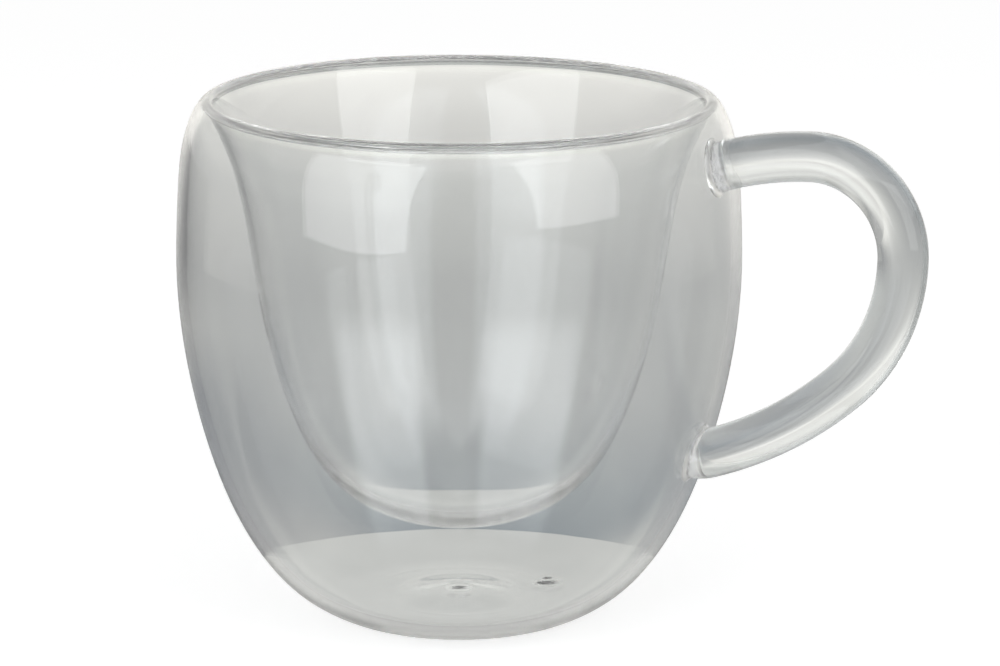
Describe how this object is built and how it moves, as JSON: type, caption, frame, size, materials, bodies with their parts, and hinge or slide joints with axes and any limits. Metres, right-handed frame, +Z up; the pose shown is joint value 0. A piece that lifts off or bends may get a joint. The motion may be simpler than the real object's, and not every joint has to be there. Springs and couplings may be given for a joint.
{
  "type": "double walled glass cup",
  "caption": "Clear double walled glass cup: a rounded outer bowl and a slim inner bowl fused at the rim, with a looped glass rod handle and a round, slightly raised base to stand on.",
  "frame": {"origin": "on the cup's axis, in the plane that the foot ring stands on", "axes": "+Z up along the cup's axis, +X out through the handle, +Y by the right-hand rule"},
  "size_m": [0.127, 0.093, 0.087],
  "materials": {
    "outer_glass": "clear blown borosilicate glass, smooth fire-polished",
    "inner_glass": "clear thin blown borosilicate glass, smooth",
    "handle_glass": "clear solid borosilicate glass rod, smooth",
    "fused_glass": "clear fused borosilicate glass, rounded by the flame"
  },
  "bodies": {
    "root": {"outer_bowl": "outer_glass", "inner_bowl": "inner_glass", "rim_weld": "fused_glass", "handle": "handle_glass", "upper_handle_weld": "fused_glass", "lower_handle_weld": "fused_glass", "vent_seal": "fused_glass", "base_gather": "fused_glass"}
  },
  "joints": []
}
